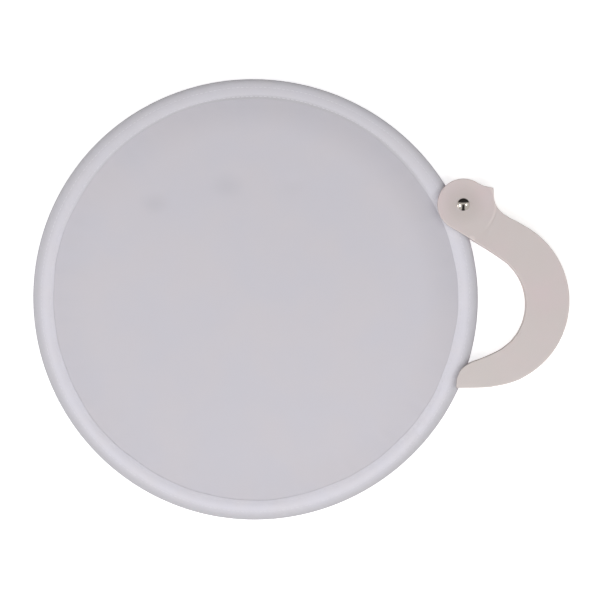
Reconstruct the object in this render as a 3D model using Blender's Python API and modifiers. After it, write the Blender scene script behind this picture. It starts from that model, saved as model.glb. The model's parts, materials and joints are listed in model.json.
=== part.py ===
"""A small twist-fold reflector disc with a C-shaped carry handle.

The disc lies flat with its front face up. A cloth panel is held taut by a spring-wire hoop in the folded
binding round its rim. A webbing tab reaches outwards from the rim, and a two-piece rivet through the tab is
the pivot of the handle. The handle is two moulded shells that make a channel: its leaves pass in front of and
behind the rim, and its outer wall closes the side away from the disc. Coiled up, the disc fits the channel.

Units are metres and +Z is up. The origin is below the middle of the whole object, on the surface it lies on.
"""

from math import atan2, cos, pi, radians, sin

import bmesh
import bpy
from mathutils import Vector

MM = 0.001
GAP = 0.3 * MM  # clearance between neighbouring pieces

# Disc
DISC_RADIUS = 125.0 * MM
DISC_SIDES = 72  # facets round the disc; every ring shares them, so their corners line up
BINDING_WIDTH = 11.2 * MM  # how far the binding reaches in from the rim
BINDING_HALF = 1.45 * MM  # half of the binding's thickness where it holds the hoop
BINDING_LEG_HALF = 1.3 * MM  # half of its thickness where it holds the panel
TAPE_THICKNESS = 0.45 * MM
ROLL_WIDTH = 2.7 * MM  # radial width of the binding's rounded outer edge
PANEL_THICKNESS = 0.4 * MM
HEM_THICKNESS = 1.3 * MM
HOOP_INSET = 2.1 * MM  # from the rim to the hoop wire's centre line
WIRE_DIAMETER = 1.2 * MM
FERRULE_LENGTH = 9.0 * MM
FERRULE_WALL = 0.2 * MM
FERRULE_CLEARANCE = 0.1 * MM  # a crimped sleeve sits close on its wire
FERRULE_FACET = 40  # the facet of the disc that the ferrule lies along

# Pivot
PIVOT_ANGLE = radians(24.4)  # direction from the disc's centre to the rivet
PIVOT_OFFSET = 3.9 * MM  # how far the rivet's axis lies outside the rim
TAB_WIDTH = 11.0 * MM
TAB_PLY = 0.6 * MM  # one layer of webbing
TAB_REACH = 9.0 * MM  # how far the tab's two legs reach in from the rim
TAB_HALF = 0.65 * MM  # half of the doubled tab's thickness outside the rim
EYELET_FLANGE_RADIUS = 3.0 * MM
EYELET_WALL = 0.3 * MM
SHANK_RADIUS = 1.5 * MM
SHANK_BORE_RADIUS = 0.9 * MM
PIN_RADIUS = 0.6 * MM
RIVET_HEAD_RADIUS = 3.5 * MM
CAP_HEIGHT = 1.5 * MM
POST_HEAD_THICKNESS = 0.85 * MM

# Handle, with its outline measured from the pivot
HANDLE_THICKNESS = 12.0 * MM
LEAF_THICKNESS = 1.6 * MM
WALL_THICKNESS = 2.0 * MM
HEAD_RADIUS = 14.7 * MM
HEAD_RECESS = 0.4 * MM  # the round head's faces lie this much below the arm's
HEAD_RECESS_RADIUS = 19.4 * MM
OUTER_ARC_CENTRE = Vector((11.3, -54.4)) * MM
OUTER_ARC_RADIUS = 48.4 * MM
INNER_ARC_CENTRE = Vector((4.8, -56.2)) * MM
INNER_ARC_RADIUS = 30.5 * MM
BEAK_ARC_CENTRE = Vector((30.4, 5.6)) * MM
BEAK_ARC_RADIUS = 13.3 * MM
BEAK_TIP = Vector((17.1, 9.4)) * MM
TIP = Vector((-4.2, -103.3)) * MM
BOSS_RADIUS = 2.8 * MM
BOSS_BASE_RADIUS = 5.0 * MM
BOSS_BASE_HEIGHT = 1.3 * MM
COUNTERBORE_RADIUS = 3.9 * MM
COUNTERBORE_DEPTH = 0.9 * MM
ROUND_SIDES = 24  # facets round a small turned piece

# Derived places
HALF = HANDLE_THICKNESS / 2
HANDLE_REACH = (DISC_RADIUS + PIVOT_OFFSET) * cos(PIVOT_ANGLE) + OUTER_ARC_CENTRE.x + OUTER_ARC_RADIUS
DISC_CENTRE = Vector(((DISC_RADIUS - HANDLE_REACH) / 2, 0.0, HALF))
PIVOT_FROM_DISC = (DISC_RADIUS + PIVOT_OFFSET) * Vector((cos(PIVOT_ANGLE), sin(PIVOT_ANGLE), 0.0))
PIVOT = DISC_CENTRE + PIVOT_FROM_DISC
BOSS_END = TAB_HALF + EYELET_WALL + GAP  # the bosses stop here, just clear of the eyelet


# Scene helpers


def clear_scene():
    for obj in list(bpy.data.objects):
        bpy.data.objects.remove(obj, do_unlink=True)


def new_collection(name):
    collection = bpy.data.collections.new(name)
    bpy.context.scene.collection.children.link(collection)
    return collection


def material(name, colour, roughness, metallic=0.0):
    made = bpy.data.materials.new(name)
    made.use_nodes = True
    shader = made.node_tree.nodes["Principled BSDF"]
    shader.inputs["Base Color"].default_value = (*colour, 1.0)
    shader.inputs["Roughness"].default_value = roughness
    shader.inputs["Metallic"].default_value = metallic
    return made


def add_object(name, mesh, collection, parent, colour=None):
    obj = bpy.data.objects.new(name, mesh)
    collection.objects.link(obj)
    obj.parent = parent
    if colour:
        mesh.materials.append(colour)
    return obj


def add_empty(name, location, collection):
    empty = bpy.data.objects.new(name, None)
    empty.location = location
    empty.empty_display_size = 0.01
    collection.objects.link(empty)
    return empty


def shade(obj):
    obj.data.shade_smooth()
    obj.data.set_sharp_from_angle(angle=radians(35))


def as_cutter(obj):
    obj.hide_render = True
    obj.display_type = "WIRE"
    return obj


def combine(obj, other, operation):
    modifier = obj.modifiers.new(f"{operation.lower()} {other.name}", "BOOLEAN")
    modifier.operation = operation
    modifier.object = other
    modifier.solver = "EXACT"


# Shape helpers


def arc(centre, radius, start, end, steps):
    """Points from the start angle to the end angle, in degrees, both included."""
    angles = [radians(start + (end - start) * i / steps) for i in range(steps + 1)]
    return [Vector((centre.x + radius * cos(a), centre.y + radius * sin(a))) for a in angles]


def spline(points, steps):
    """Points on a smooth curve through the given ones, with the two ends left out."""
    padded = [2 * points[0] - points[1], *points, 2 * points[-1] - points[-2]]
    found = []
    for a, b, c, d in zip(padded, padded[1:], padded[2:], padded[3:]):
        for i in range(steps):
            t = i / steps
            square = (2 * a - 5 * b + 4 * c - d) * t**2
            cube = (3 * (b - c) + d - a) * t**3
            found.append(0.5 * (2 * b + (c - a) * t + square + cube))
    return found[1:]


def offset_left(points, distance):
    """The same path, moved sideways to the left of its direction."""
    moved = []
    for i, point in enumerate(points):
        along = (points[min(i + 1, len(points) - 1)] - points[max(i - 1, 0)]).normalized()
        moved.append(point + distance * Vector((-along.y, along.x)))
    return moved


def mesh_of_curve(name, curve):
    """The closed mesh that a curve makes, with its caps welded on."""
    source = bpy.data.objects.new(name, curve)
    bpy.context.scene.collection.objects.link(source)
    graph = bpy.context.evaluated_depsgraph_get()
    mesh = bpy.data.meshes.new_from_object(source.evaluated_get(graph))
    bpy.data.objects.remove(source, do_unlink=True)
    edit = bmesh.new()
    edit.from_mesh(mesh)
    bmesh.ops.remove_doubles(edit, verts=edit.verts, dist=1e-6)
    bmesh.ops.recalc_face_normals(edit, faces=edit.faces)
    edit.to_mesh(mesh)
    edit.free()
    mesh.name = name
    return mesh


def plate_mesh(name, outline, bottom, top):
    """A flat outline in X and Y, with straight sides from bottom to top."""
    curve = bpy.data.curves.new(name, "CURVE")
    curve.dimensions = "2D"
    curve.fill_mode = "BOTH"
    curve.extrude = (top - bottom) / 2
    path = curve.splines.new("POLY")
    path.use_cyclic_u = True
    path.points.add(len(outline) - 1)
    for point, place in zip(path.points, outline):
        point.co = (place.x, place.y, 0.0, 1.0)
    mesh = mesh_of_curve(name, curve)
    for vertex in mesh.vertices:
        vertex.co.z += (top + bottom) / 2
    return mesh


def cylinder_mesh(name, radius, bottom, top, sides=ROUND_SIDES):
    edit = bmesh.new()
    depth = top - bottom
    bmesh.ops.create_cone(edit, cap_ends=True, segments=sides, radius1=radius, radius2=radius, depth=depth)
    bmesh.ops.translate(edit, verts=edit.verts, vec=(0, 0, (top + bottom) / 2))
    mesh = bpy.data.meshes.new(name)
    edit.to_mesh(mesh)
    edit.free()
    return mesh


def turned(name, profile, sides, collection, parent, colour):
    """A profile of (radius, height) points turned about Z. It runs down its outer side."""
    edit = bmesh.new()
    corners = [edit.verts.new((radius, 0.0, height)) for radius, height in profile]
    for a, b in zip(corners, corners[1:]):
        edit.edges.new((a, b))
    if profile[0][0] > 0:
        edit.edges.new((corners[-1], corners[0]))
    mesh = bpy.data.meshes.new(name)
    edit.to_mesh(mesh)
    edit.free()
    obj = add_object(name, mesh, collection, parent, colour)
    screw = obj.modifiers.new("turn", "SCREW")
    screw.steps = sides
    screw.render_steps = sides
    screw.use_merge_vertices = True
    screw.merge_threshold = 1e-6
    screw.use_smooth_shade = False
    return obj


# Outlines


def in_mm(*places):
    return [Vector(place) * MM for place in places]


def mirrored(half):
    """A section from its points above the middle plane, which run from its inner edge outwards."""
    return half + [Vector((point.x, -point.y)) for point in reversed(half) if point.y > 0]


def roll(width, height, steps):
    """The binding's rounded outer edge: a quarter ellipse, from its top to the rim."""
    start = DISC_RADIUS - ROLL_WIDTH
    angles = [pi / 2 * i / steps for i in range(steps + 1)]
    return [Vector((start + width * sin(a), height * cos(a) if a < pi / 2 else 0.0)) for a in angles]


def outer_edge():
    """The handle's outer edge, from its lower tip round to the beak."""
    lower = [TIP] + in_mm((9.6, -103.1), (16.2, -102.6), (25.7, -100.6), (31.5, -98.6))
    bow = arc(OUTER_ARC_CENTRE, OUTER_ARC_RADIUS, -60, 63, 26)
    crest = in_mm((29.8, -9.2), (26.6, -7.7))
    beak = arc(BEAK_ARC_CENTRE, BEAK_ARC_RADIUS, 239, 183, 8)
    return lower + bow + crest + beak + [BEAK_TIP]


def handle_outline():
    """The whole handle from the front: outer edge, beak, round head, inner edge and the tip's end."""
    beak_top = in_mm((14.7, 10.0), (10.9, 10.9))
    head = arc(Vector((0, 0)), HEAD_RADIUS, 63.8, 239.6, 24)
    inner_top = spline([head[-1]] + in_mm((3.5, -19.1), (17.5, -27.9), (25.5, -33.5)), 2)
    inner_arc = arc(INNER_ARC_CENTRE, INNER_ARC_RADIUS, 45, -43, 16)
    inner_bottom = in_mm((21.0, -81.7), (11.4, -86.2), (3.6, -89.2), (-1.4, -93.0), (-3.7, -97.8))
    return outer_edge() + beak_top + head + inner_top + inner_arc + inner_bottom


def channel_outline():
    """The space between the leaves: up to the outer wall, and past the edge on every other side."""
    wall = offset_left(outer_edge(), WALL_THICKNESS)
    wall[-1].x = BEAK_TIP.x - WALL_THICKNESS
    above = 30 * MM
    beyond = -40 * MM
    return wall + [Vector((wall[-1].x, above)), Vector((beyond, above)), Vector((beyond, wall[0].y))]


# Disc pieces


def make_panel(parts, disc):
    hem_inner = DISC_RADIUS - BINDING_WIDTH + 1.0 * MM
    hem_outer = DISC_RADIUS - ROLL_WIDTH - 0.9 * MM
    profile = [
        (0.0, PANEL_THICKNESS / 2),
        (hem_inner, PANEL_THICKNESS / 2),
        (hem_inner + 0.3 * MM, HEM_THICKNESS / 2),
        (hem_outer, HEM_THICKNESS / 2),
        (hem_outer, -HEM_THICKNESS / 2),
        (hem_inner + 0.3 * MM, -HEM_THICKNESS / 2),
        (hem_inner, -PANEL_THICKNESS / 2),
        (0.0, -PANEL_THICKNESS / 2),
    ]
    cloth = material("panel_cloth", (0.60, 0.58, 0.63), 0.75)
    turned("panel_fabric", profile, DISC_SIDES, parts, disc, cloth)


def make_binding(parts, disc):
    inner = DISC_RADIUS - BINDING_WIDTH
    leg_end = DISC_RADIUS - 2 * ROLL_WIDTH
    leg_inside = BINDING_LEG_HALF - TAPE_THICKNESS
    outside = [Vector((inner, BINDING_LEG_HALF - 0.3 * MM)), Vector((inner + 0.5 * MM, BINDING_LEG_HALF))]
    outside += [Vector((leg_end, BINDING_LEG_HALF))] + roll(ROLL_WIDTH, BINDING_HALF, 5)
    inside = [Vector((inner, leg_inside)), Vector((leg_end, leg_inside))]
    inside += roll(ROLL_WIDTH - TAPE_THICKNESS, BINDING_HALF - TAPE_THICKNESS, 4)
    section = mirrored(outside) + list(reversed(mirrored(inside)))
    tape = material("binding_tape", (0.72, 0.71, 0.76), 0.7)
    turned("rim_binding", [tuple(point) for point in section], DISC_SIDES, parts, disc, tape)


def hoop_corner(facet):
    angle = 2 * pi * facet / DISC_SIDES
    radius = DISC_RADIUS - HOOP_INSET
    return Vector((radius * cos(angle), radius * sin(angle), 0.0))


def make_hoop(parts, disc):
    """The wire runs once round. Its two ends meet in the middle of the ferrule's facet."""
    corners = [hoop_corner(FERRULE_FACET + 1 + i) for i in range(DISC_SIDES)]
    middle = (corners[0] + corners[-1]) / 2
    along = (corners[0] - corners[-1]).normalized()
    route = [middle + along * GAP, *corners, middle - along * GAP]
    curve = bpy.data.curves.new("spring_hoop", "CURVE")
    curve.dimensions = "3D"
    curve.bevel_depth = WIRE_DIAMETER / 2
    curve.bevel_resolution = 2
    curve.use_fill_caps = True
    path = curve.splines.new("POLY")
    path.points.add(len(route) - 1)
    for point, place in zip(path.points, route):
        point.co = (*place, 1.0)
    steel = material("spring_steel", (0.45, 0.45, 0.46), 0.3, 1.0)
    shade(add_object("spring_hoop", mesh_of_curve("spring_hoop", curve), parts, disc, steel))

    bore = WIRE_DIAMETER / 2 + FERRULE_CLEARANCE
    half = FERRULE_LENGTH / 2
    profile = [(bore + FERRULE_WALL, half), (bore + FERRULE_WALL, -half), (bore, -half), (bore, half)]
    brass = material("ferrule_brass", (0.6, 0.5, 0.3), 0.35, 1.0)
    ferrule = turned("hoop_ferrule", profile, 16, parts, disc, brass)
    ferrule.location = middle
    ferrule.rotation_mode = "QUATERNION"
    ferrule.rotation_quaternion = along.to_track_quat("Z", "X")


def make_tab(parts, cutters, disc):
    """A strip of webbing folded over the rim, doubled outside it, with the rivet's eyelet through its end.

    The section is measured outwards from the disc's centre, then turned to face the pivot.
    """
    rim = DISC_RADIUS
    leg = BINDING_HALF + GAP
    start = rim - TAB_REACH
    fold = rim - ROLL_WIDTH
    outside = [Vector((start, leg + TAB_PLY)), Vector((fold + 0.3 * MM, leg + TAB_PLY))]
    outside += [Vector((rim - 0.5 * MM, leg + 0.25 * MM)), Vector((rim + 0.5 * MM, 1.2 * MM))]
    outside += [Vector((rim + 0.8 * MM, TAB_HALF)), Vector((rim + PIVOT_OFFSET, TAB_HALF))]
    inside = [Vector((start, leg)), Vector((fold + 0.1 * MM, leg)), Vector((rim - 0.8 * MM, 1.45 * MM))]
    inside += [Vector((rim + 0.1 * MM, 0.75 * MM)), Vector((rim + 0.35 * MM, 0.0))]
    section = mirrored(outside) + list(reversed(mirrored(inside)))
    strip = plate_mesh("pivot_tab", section, -TAB_WIDTH / 2, TAB_WIDTH / 2)
    for vertex in strip.vertices:
        vertex.co = Vector((vertex.co.x, -vertex.co.z, vertex.co.y))
    webbing = material("tab_webbing", (0.70, 0.69, 0.73), 0.8)
    tab = add_object("pivot_tab", strip, parts, disc, webbing)
    tab.rotation_euler.z = PIVOT_ANGLE

    end_radius = TAB_WIDTH / 2 - 0.1 * MM
    end_outline = arc(Vector((0, 0)), end_radius, -90, 90, 12)
    end_outline += [Vector((-1.0 * MM, end_radius)), Vector((-1.0 * MM, -end_radius))]
    hole_radius = SHANK_RADIUS + GAP + EYELET_WALL + GAP
    end_mesh = plate_mesh("tab_end", end_outline, -TAB_HALF, TAB_HALF)
    end = as_cutter(add_object("tab_end", end_mesh, cutters, disc))
    hole_mesh = cylinder_mesh("tab_hole", hole_radius, -HALF, HALF)
    hole = as_cutter(add_object("tab_hole", hole_mesh, cutters, disc))
    for helper in (end, hole):
        helper.location = PIVOT_FROM_DISC
        helper.rotation_euler.z = PIVOT_ANGLE
    combine(tab, end, "UNION")
    combine(tab, hole, "DIFFERENCE")

    bore = SHANK_RADIUS + GAP
    barrel = bore + EYELET_WALL
    inner = TAB_HALF + 0.1 * MM
    outer = inner + EYELET_WALL
    flange = EYELET_FLANGE_RADIUS
    profile = [(barrel, inner), (barrel, -inner), (flange, -inner), (flange, -outer)]
    profile += [(bore, -outer), (bore, outer), (flange, outer), (flange, inner)]
    nickel = material("eyelet_nickel", (0.55, 0.54, 0.52), 0.3, 1.0)
    turned("tab_eyelet", profile, ROUND_SIDES, parts, disc, nickel).location = PIVOT_FROM_DISC


# Handle pieces


def make_shell(name, side, parts, cutters, pivot, plastic):
    """One half of the handle. side is 1 for the front shell and -1 for the back one.

    Heights are given outwards from the handle's middle plane.
    """

    def span(near, far):
        return sorted((side * near, side * far))

    def cutter(suffix, mesh):
        return as_cutter(add_object(f"{name}_{suffix}", mesh, cutters, shell))

    def round_cutter(suffix, radius, near, far, sides=ROUND_SIDES):
        return cutter(suffix, cylinder_mesh(f"{name}_{suffix}", radius, *span(near, far), sides))

    inner_face = HALF - LEAF_THICKNESS
    head_face = HALF - HEAD_RECESS
    base_end = inner_face - BOSS_BASE_HEIGHT
    beyond = 2 * HALF
    body = plate_mesh(name, handle_outline(), *span(GAP / 2, HALF))
    shell = add_object(name, body, parts, pivot, plastic)
    channel = cutter("channel", plate_mesh(f"{name}_channel", channel_outline(), *span(-HALF, inner_face)))
    rim = round_cutter("rim", DISC_RADIUS + 0.5 * MM, -HALF, inner_face - 0.2 * MM, DISC_SIDES)
    rim.location = -PIVOT_FROM_DISC
    recess = round_cutter("recess", HEAD_RECESS_RADIUS, head_face, beyond, 64)
    boss_base = round_cutter("boss_base", BOSS_BASE_RADIUS, base_end, inner_face + 0.6 * MM)
    boss = round_cutter("boss", BOSS_RADIUS, BOSS_END, inner_face + 0.3 * MM)
    hole = round_cutter("hole", SHANK_RADIUS + GAP, -HALF, beyond)
    for helper in (channel, rim, recess):
        combine(shell, helper, "DIFFERENCE")
    for helper in (boss_base, boss):
        combine(shell, helper, "UNION")
    combine(shell, hole, "DIFFERENCE")
    if side < 0:
        floor = head_face - COUNTERBORE_DEPTH
        combine(shell, round_cutter("counterbore", COUNTERBORE_RADIUS, floor, beyond), "DIFFERENCE")


def make_rivet(parts, pivot):
    head_face = HALF - HEAD_RECESS
    cap_base = head_face + 0.2 * MM
    cap_radius = (RIVET_HEAD_RADIUS**2 + CAP_HEIGHT**2) / (2 * CAP_HEIGHT)
    cap_centre = cap_base + CAP_HEIGHT - cap_radius
    half_angle = atan2(RIVET_HEAD_RADIUS, cap_base - cap_centre)
    angles = [half_angle * i / 7 for i in range(1, 8)]
    shank_end = 2.0 * MM - head_face
    bore_end = cap_base - 0.6 * MM
    profile = [(0.0, cap_base + CAP_HEIGHT)]
    profile += [(cap_radius * sin(a), cap_centre + cap_radius * cos(a)) for a in angles]
    profile += [(SHANK_RADIUS, cap_base), (SHANK_RADIUS, shank_end)]
    profile += [(SHANK_BORE_RADIUS, shank_end), (SHANK_BORE_RADIUS, bore_end), (0.0, bore_end)]
    chrome = material("rivet_chrome", (0.78, 0.77, 0.75), 0.12, 1.0)
    turned("rivet_cap", profile, ROUND_SIDES, parts, pivot, chrome)

    head_top = COUNTERBORE_DEPTH - head_face - 0.3 * MM
    head_bottom = head_top - POST_HEAD_THICKNESS
    pin_top = bore_end - 0.7 * MM
    profile = [(0.0, pin_top), (PIN_RADIUS, pin_top), (PIN_RADIUS, head_top), (RIVET_HEAD_RADIUS, head_top)]
    profile += [(RIVET_HEAD_RADIUS, head_bottom + 0.3 * MM), (RIVET_HEAD_RADIUS - 0.4 * MM, head_bottom)]
    profile += [(0.0, head_bottom)]
    post_steel = material("rivet_post_steel", (0.7, 0.69, 0.67), 0.2, 1.0)
    turned("rivet_post", profile, ROUND_SIDES, parts, pivot, post_steel)


def main():
    clear_scene()
    parts = new_collection("reflector_disc")
    cutters = new_collection("cutters")
    cutters.hide_render = True
    disc = add_empty("disc_centre", DISC_CENTRE, parts)
    pivot = add_empty("handle_pivot", PIVOT, parts)
    make_panel(parts, disc)
    make_binding(parts, disc)
    make_hoop(parts, disc)
    make_tab(parts, cutters, disc)
    plastic = material("handle_plastic", (0.62, 0.55, 0.53), 0.45)
    make_shell("handle_front_shell", 1, parts, cutters, pivot, plastic)
    make_shell("handle_back_shell", -1, parts, cutters, pivot, plastic)
    make_rivet(parts, pivot)


main()
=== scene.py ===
import json
from math import acos, atan2, cos, pi, radians, sin, tan

import bmesh
import bpy
import numpy as np
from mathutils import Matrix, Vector
from mathutils.geometry import delaunay_2d_cdt


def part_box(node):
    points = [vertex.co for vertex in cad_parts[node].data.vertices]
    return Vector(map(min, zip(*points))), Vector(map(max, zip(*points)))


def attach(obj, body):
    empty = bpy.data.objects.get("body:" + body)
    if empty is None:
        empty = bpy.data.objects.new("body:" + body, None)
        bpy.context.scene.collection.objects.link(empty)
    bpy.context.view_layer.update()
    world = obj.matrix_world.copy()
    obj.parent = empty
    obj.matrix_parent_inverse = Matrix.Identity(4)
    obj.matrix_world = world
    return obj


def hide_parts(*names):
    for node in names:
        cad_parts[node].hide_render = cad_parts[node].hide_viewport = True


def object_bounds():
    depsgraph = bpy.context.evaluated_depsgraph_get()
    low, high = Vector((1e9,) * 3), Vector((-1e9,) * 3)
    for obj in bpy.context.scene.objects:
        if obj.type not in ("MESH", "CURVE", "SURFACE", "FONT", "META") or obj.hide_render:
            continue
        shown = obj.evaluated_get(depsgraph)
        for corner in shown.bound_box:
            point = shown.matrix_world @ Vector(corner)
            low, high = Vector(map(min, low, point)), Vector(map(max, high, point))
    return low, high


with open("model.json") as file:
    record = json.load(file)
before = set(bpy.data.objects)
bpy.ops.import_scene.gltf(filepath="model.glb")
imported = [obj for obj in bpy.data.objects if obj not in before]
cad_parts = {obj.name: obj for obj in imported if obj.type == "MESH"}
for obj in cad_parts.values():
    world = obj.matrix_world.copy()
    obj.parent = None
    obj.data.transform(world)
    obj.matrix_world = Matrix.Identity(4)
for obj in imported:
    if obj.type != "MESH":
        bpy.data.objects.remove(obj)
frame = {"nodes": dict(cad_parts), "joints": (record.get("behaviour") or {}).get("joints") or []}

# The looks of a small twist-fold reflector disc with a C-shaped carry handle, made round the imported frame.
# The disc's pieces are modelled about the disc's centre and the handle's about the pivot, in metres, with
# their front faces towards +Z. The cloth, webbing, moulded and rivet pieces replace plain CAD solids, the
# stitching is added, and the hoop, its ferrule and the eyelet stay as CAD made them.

MM = 0.001
TURN = 2 * pi
cad_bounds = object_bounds()

# Places and sizes read from the frame
RIM_LOW, RIM_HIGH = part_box("rim_binding")
DISC_CENTRE = (RIM_LOW + RIM_HIGH) / 2
DISC_RADIUS = (RIM_HIGH.x - RIM_LOW.x) / 2
PIVOT = Vector(frame["joints"][0]["pos_m"])
PIVOT_FROM_DISC = PIVOT - DISC_CENTRE
PIVOT_ANGLE = atan2(PIVOT_FROM_DISC.y, PIVOT_FROM_DISC.x)
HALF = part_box("handle_front_shell")[1].z - PIVOT.z
CAP_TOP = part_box("rivet_cap")[1].z - PIVOT.z
POST_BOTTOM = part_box("rivet_post")[0].z - PIVOT.z

# Panel and binding
PANEL_RADIUS = DISC_RADIUS - 3.6 * MM  # the cloth is held inside the folded tape
PANEL_THICKNESS = 0.22 * MM
BINDING_WIDTH = 11.2 * MM
TAPE_THICKNESS = 0.26 * MM
INNER_STITCH_RADIUS = DISC_RADIUS - 9.7 * MM
OUTER_STITCH_RADIUS = DISC_RADIUS - 4.6 * MM
STITCH_PITCH = 2.6 * MM
STITCH_LENGTH = 2.0 * MM
THREAD_RADIUS = 0.13 * MM
PANEL_WEAVE_PITCH = 0.36 * MM
TAPE_WEAVE_PITCH = 0.52 * MM
WEBBING_PITCH = 0.7 * MM

# Webbing tab, measured outwards from the disc's centre and up from its mid-plane
TAB_WIDTH = 11.0 * MM
TAB_END_RADIUS = 5.4 * MM
TAB_HOLE_RADIUS = 2.4 * MM
TAB_THICKNESS = 0.6 * MM

# Handle
LEAF_THICKNESS = 1.6 * MM
WALL_THICKNESS = 2.0 * MM
PARTING_HALF = 0.15 * MM  # half of the gap where the two shells meet
HEAD_RADIUS = 14.7 * MM
HEAD_RECESS = 0.4 * MM
RAMP_START = 18.3 * MM  # the head's faces step up to the arm's at this distance from the rivet
RAMP_WIDTH = 1.3 * MM
RAMP_SPREAD = 5.0 * MM  # how much wider the step's slope gets towards the arm's inner edge
RAMP_LEVELS = (0.0, 0.2, 0.5, 0.8, 1.0)  # shares of the step's width that get a crease of their own
RAMP_LIMIT = radians(8)  # the beak, which lies past this direction from the rivet, belongs to the head
FILLET = 0.55 * MM
SUPPORT = 0.68 * MM  # where the flat face begins, just inside the rounded edge
SOFT_EDGE = 0.15 * MM  # the small bevels on the inner side and in the holes
CORNER = 0.8 * MM
OUTER_ARC_CENTRE, OUTER_ARC_RADIUS = Vector((11.3, -54.4)) * MM, 48.4 * MM
INNER_ARC_CENTRE, INNER_ARC_RADIUS = Vector((4.8, -56.2)) * MM, 30.5 * MM
BEAK_ARC_CENTRE, BEAK_ARC_RADIUS = Vector((30.4, 5.6)) * MM, 13.3 * MM
BEAK_TIP = Vector((17.1, 9.4)) * MM
TIP = Vector((-4.2, -103.3)) * MM
HOLE_RADIUS = 1.8 * MM
BOSS_RADIUS = 2.8 * MM
BOSS_END = 1.25 * MM  # height above the mid-plane where the bosses stop, just clear of the eyelet
BOSS_BASE_RADIUS = 5.0 * MM
BOSS_BASE_HEIGHT = 1.3 * MM
COUNTERBORE_RADIUS = 3.9 * MM
COUNTERBORE_DEPTH = 0.9 * MM
RIVET_HEAD_RADIUS = 3.5 * MM
CAP_HEIGHT = 1.5 * MM
CAP_BASE = CAP_TOP - CAP_HEIGHT
SHANK_RADIUS = 1.5 * MM
SHANK_BORE_RADIUS = 0.9 * MM
SHANK_BORE_END = CAP_BASE - 0.6 * MM
PIN_RADIUS = 0.6 * MM

# Camera and light
CAMERA_HEIGHT = 1.8
VIEW_WIDTH = 338.9 * MM  # what the picture's width covers at the disc
VIEW_OFFSET = Vector((-0.7, -0.5, 0.0)) * MM
WORLD_LIGHT = 0.55

# Colours, as reflectances


def colour(red, green, blue):
    return (red, green, blue, 1.0)


PANEL_COOL = colour(0.665, 0.650, 0.712)
PANEL_WARM = colour(0.682, 0.656, 0.704)
PANEL_THREAD = colour(0.80, 0.78, 0.82)
PANEL_SHADE = colour(0.50, 0.49, 0.54)
TAPE_COOL = colour(0.792, 0.780, 0.858)
TAPE_WARM = colour(0.800, 0.780, 0.842)
TAPE_THREAD = colour(0.86, 0.85, 0.88)
TAPE_SHADE = colour(0.54, 0.53, 0.565)
TAPE_EDGE_SHADE = colour(0.42, 0.41, 0.43)
WEBBING_DARK = colour(0.66, 0.65, 0.68)
WEBBING_LIGHT = colour(0.80, 0.79, 0.82)
PLASTIC_ROSY = colour(0.722, 0.634, 0.640)
PLASTIC_GREY = colour(0.700, 0.640, 0.630)
PLASTIC_PALE = colour(0.708, 0.660, 0.645)
PLASTIC_HEAD = colour(0.570, 0.525, 0.500)
PLASTIC_SHADE = colour(0.42, 0.37, 0.34)
PLASTIC_HIGHLIGHT = colour(0.80, 0.73, 0.72)
CHROME = colour(0.80, 0.75, 0.68)
CHROME_DULL = colour(0.74, 0.68, 0.60)
STEEL = colour(0.50, 0.50, 0.51)
STEEL_DULL = colour(0.34, 0.34, 0.36)
BRASS = colour(0.62, 0.50, 0.28)
BRASS_DULL = colour(0.42, 0.33, 0.19)
NICKEL = colour(0.62, 0.60, 0.56)
NICKEL_DULL = colour(0.46, 0.44, 0.41)

HEM_SHADE_ANGLE = radians(55)  # the side where the photo's panel is greyest next to the tape

# Soft hollows in the panel, each darkened with painted shade: X, Y and size in millimetres from the disc's
# centre, and how dark each one's painted shade is
SHADED_HOLLOWS = [(-56.5, 55.0, 11.5, 0.22), (-15.5, 65.0, 13.0, 0.20), (22.0, 65.0, 10.0, 0.06)]
HOLLOW_SQUASH = 1.35  # how much wider than high they are


# Points and outlines


def smoothstep(low, high, value):
    t = np.clip((value - low) / (high - low), 0.0, 1.0)
    return t * t * (3 - 2 * t)


def in_mm(*places):
    return [Vector(place) * MM for place in places]


def arc(centre, radius, start, end, steps):
    """Points from the start angle to the end angle, in degrees, both included."""
    angles = [radians(start + (end - start) * i / steps) for i in range(steps + 1)]
    return [Vector((centre.x + radius * cos(a), centre.y + radius * sin(a))) for a in angles]


def spline(points, steps):
    """Points on a smooth curve through the given ones, both ends included."""
    padded = [2 * points[0] - points[1], *points, 2 * points[-1] - points[-2]]
    found = []
    for a, b, c, d in zip(padded, padded[1:], padded[2:], padded[3:]):
        for i in range(steps):
            t = i / steps
            square = (2 * a - 5 * b + 4 * c - d) * t**2
            cube = (3 * (b - c) + d - a) * t**3
            found.append(0.5 * (2 * b + (c - a) * t + square + cube))
    return found + [points[-1].copy()]


def rounded_corner(before, corner, after, radius, steps=6):
    """A corner of a path, replaced by an arc that touches both of its sides."""
    back = (before - corner).normalized()
    ahead = (after - corner).normalized()
    half = back.angle(ahead) / 2
    centre = corner + (back + ahead).normalized() * radius / sin(half)
    reach = radius / tan(half)
    start = corner + back * reach - centre
    end = corner + ahead * reach - centre
    found = []
    for i in range(steps + 1):
        mixed = start.lerp(end, i / steps)
        found.append(centre + mixed.normalized() * radius)
    return found


def offset_left(points, distance, closed=False):
    """The same path moved to the left of its direction, at the same distance on every side."""
    count = len(points)
    moved = []
    for i, point in enumerate(points):
        before = points[i - 1] if closed or i else None
        after = points[(i + 1) % count] if closed or i < count - 1 else None
        sides = []
        if before is not None:
            sides.append((point - before).normalized())
        if after is not None:
            sides.append((after - point).normalized())
        normals = [Vector((-side.y, side.x)) for side in sides]
        mean = sum(normals, Vector((0.0, 0.0))).normalized()
        moved.append(point + mean * distance / max(mean.dot(normals[0]), 0.4))
    return moved


# Meshes


def new_object(name, data):
    made = bpy.data.objects.new(name, data)
    bpy.context.scene.collection.objects.link(made)
    return made


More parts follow.
